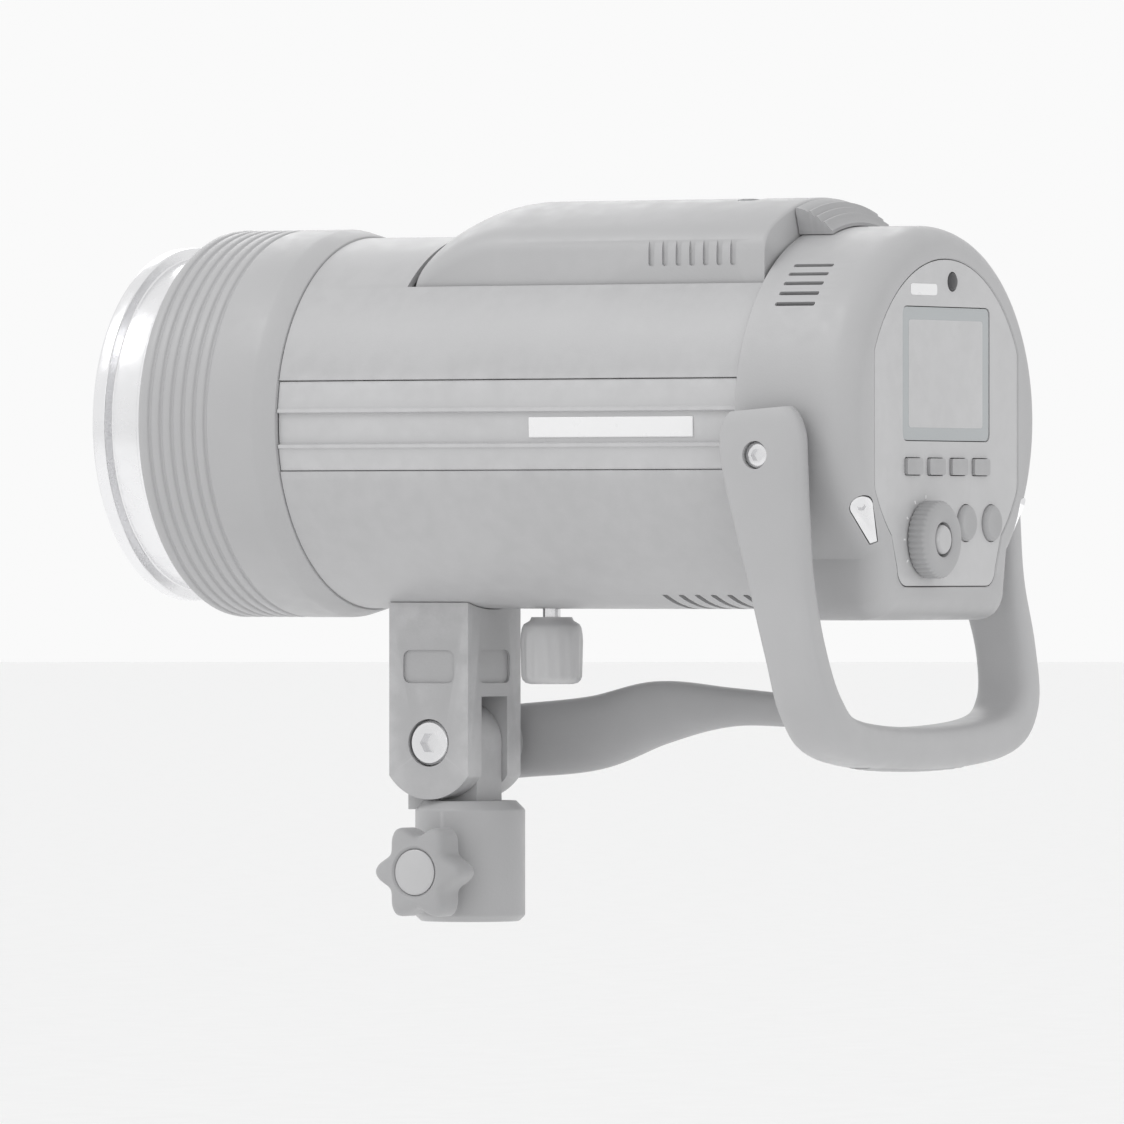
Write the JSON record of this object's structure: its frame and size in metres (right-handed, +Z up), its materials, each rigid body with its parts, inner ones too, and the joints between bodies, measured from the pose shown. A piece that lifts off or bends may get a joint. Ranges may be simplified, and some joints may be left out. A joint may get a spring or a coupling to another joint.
{
  "type": "monolight strobe",
  "caption": "Battery monolight studio strobe with ring flash tube under a glass dome, bayonet accessory ring, rear control panel, rear grip loop and tilting stand bracket.",
  "frame": {"origin": "centre of the stand socket's mouth, in the bottom face of the stand receiver", "axes": "+Z up along the stand socket; -Y is the way the flash points; +Y is the control panel; +X is the side with the stand knob"},
  "size_m": [0.1538, 0.3231, 0.2413],
  "materials": {
    "shell": "fine moulded texture",
    "panel": "satin moulded",
    "rubber": "matt, lightly worn",
    "bracket": "powder coat over cast alloy",
    "ring": "bright machined",
    "steel": "bright",
    "brass": "turned",
    "dish": "polished",
    "glass": "frosted",
    "tube": "clear",
    "ceramic": "unglazed",
    "led": "phosphor gel",
    "sink": "mill finish",
    "can": "sleeved",
    "board": "solder mask",
    "fan": "moulded",
    "display": "clear hard coat",
    "gold": "gold plated"
  },
  "bodies": {
    "root": {"stand_receiver": "bracket"},
    "stand_knob": {"stand_knob": "rubber", "stand_screw": "steel"},
    "pressure_pad": {"pressure_pad": "brass"},
    "tilt_lever": {"tilt_lever": "rubber", "lever_nut": "steel"},
    "umbrella_knob": {"umbrella_knob": "rubber", "umbrella_screw": "steel"},
    "fan_rotor": {"fan_rotor": "fan"},
    "select_dial": {"select_dial": "rubber"},
    "set_button": {"set_button": "panel"},
    "function_button_1": {"function_button_1": "rubber"},
    "function_button_2": {"function_button_2": "rubber"},
    "function_button_3": {"function_button_3": "rubber"},
    "function_button_4": {"function_button_4": "rubber"},
    "test_button": {"test_button": "rubber"},
    "power_button": {"power_button": "rubber"},
    "battery": {"battery_pack": "shell"},
    "battery_latch": {"battery_latch": "rubber"},
    "port_cover": {"port_cover": "rubber"},
    "mount_lock": {"mount_lock": "rubber"},
    "head": {"barrel_upper": "shell", "barrel_lower": "shell", "front_collar": "shell", "front_plate": "shell", "rear_housing": "shell", "grip_handle": "shell", "side_rail_right": "panel", "side_rail_left": "panel", "battery_tray": "panel", "rear_panel": "panel", "grip_pad": "rubber", "neck": "bracket", "bayonet_ring": "ring", "tilt_bolt": "steel", "grip_screw_left": "steel", "grip_screw_right": "steel", "case_screw_left": "steel", "case_screw_right": "steel", "reflector": "dish", "glass_dome": "glass", "flash_tube": "tube", "tube_base": "ceramic", "modelling_led": "led", "led_heatsink": "sink", "umbrella_tube": "sink", "capacitor_bracket": "sink", "power_heatsink": "sink", "capacitor_1": "can", "capacitor_2": "can", "capacitor_3": "can", "main_board": "board", "power_board": "board", "control_board": "board", "fan_frame": "fan", "port_block": "fan", "display_module": "fan", "display_window": "display", "sensor_window": "display", "battery_contacts": "gold"}
  },
  "joints": [
    {"name": "head_tilt", "type": "hinge", "parent": "root", "child": "head", "pos_m": [0, -0.006, 0.06], "axis": [1, 0, 0], "range_deg": [-60, 90]},
    {"name": "lever_swing", "type": "hinge", "parent": "head", "child": "tilt_lever", "pos_m": [-0.031, -0.006, 0.06], "axis": [-1, 0, 0], "range_deg": [0, 40]},
    {"name": "stand_knob_turn", "type": "hinge", "parent": "root", "child": "stand_knob", "pos_m": [0.0285, 0, 0.017], "axis": [-1, 0, 0], "range_deg": [0, 720]},
    {"name": "pad_press", "type": "slide", "parent": "root", "child": "pressure_pad", "axis": [-1, 0, 0], "range_m": [0, 0.003]},
    {"name": "umbrella_knob_turn", "type": "hinge", "parent": "head", "child": "umbrella_knob", "pos_m": [0, 0.032, 0.09], "axis": [0, 0, 1], "range_deg": [0, 720]},
    {"name": "fan_spin", "type": "hinge", "parent": "head", "child": "fan_rotor", "pos_m": [0, 0.132, 0.1545], "axis": [0, 1, 0], "continuous": true},
    {"name": "dial_turn", "type": "hinge", "parent": "head", "child": "select_dial", "pos_m": [0.014, 0.185, 0.128], "axis": [0, 1, 0], "continuous": true},
    {"name": "set_press", "type": "slide", "parent": "head", "child": "set_button", "axis": [0, -1, 0], "range_m": [0, 0.0008], "stiffness_N_per_m": 400},
    {"name": "function_press_1", "type": "slide", "parent": "head", "child": "function_button_1", "axis": [0, -1, 0], "range_m": [0, 0.0008], "stiffness_N_per_m": 400},
    {"name": "function_press_2", "type": "slide", "parent": "head", "child": "function_button_2", "axis": [0, -1, 0], "range_m": [0, 0.0008], "stiffness_N_per_m": 400},
    {"name": "function_press_3", "type": "slide", "parent": "head", "child": "function_button_3", "axis": [0, -1, 0], "range_m": [0, 0.0008], "stiffness_N_per_m": 400},
    {"name": "function_press_4", "type": "slide", "parent": "head", "child": "function_button_4", "axis": [0, -1, 0], "range_m": [0, 0.0008], "stiffness_N_per_m": 400},
    {"name": "test_press", "type": "slide", "parent": "head", "child": "test_button", "axis": [0, -1, 0], "range_m": [0, 0.0008], "stiffness_N_per_m": 400},
    {"name": "power_press", "type": "slide", "parent": "head", "child": "power_button", "axis": [0, -1, 0], "range_m": [0, 0.0008], "stiffness_N_per_m": 400},
    {"name": "battery_lift", "type": "slide", "parent": "head", "child": "battery", "axis": [0, 0, 1], "range_m": [0, 0.06]},
    {"name": "latch_slide", "type": "slide", "parent": "head", "child": "battery_latch", "axis": [0, 1, 0], "range_m": [0, 0.004], "stiffness_N_per_m": 400},
    {"name": "port_cover_hinge", "type": "hinge", "parent": "head", "child": "port_cover", "pos_m": [-0.05783, 0.157, 0.19825], "axis": [0, 1, 0], "range_deg": [0, 110]},
    {"name": "lock_slide", "type": "slide", "parent": "head", "child": "mount_lock", "axis": [0, 1, 0], "range_m": [0, 0.006], "stiffness_N_per_m": 400}
  ],
  "couplings": [
    {"joint": "pad_press", "follows": "stand_knob_turn", "m_per_rad": 0.00023873}
  ]
}
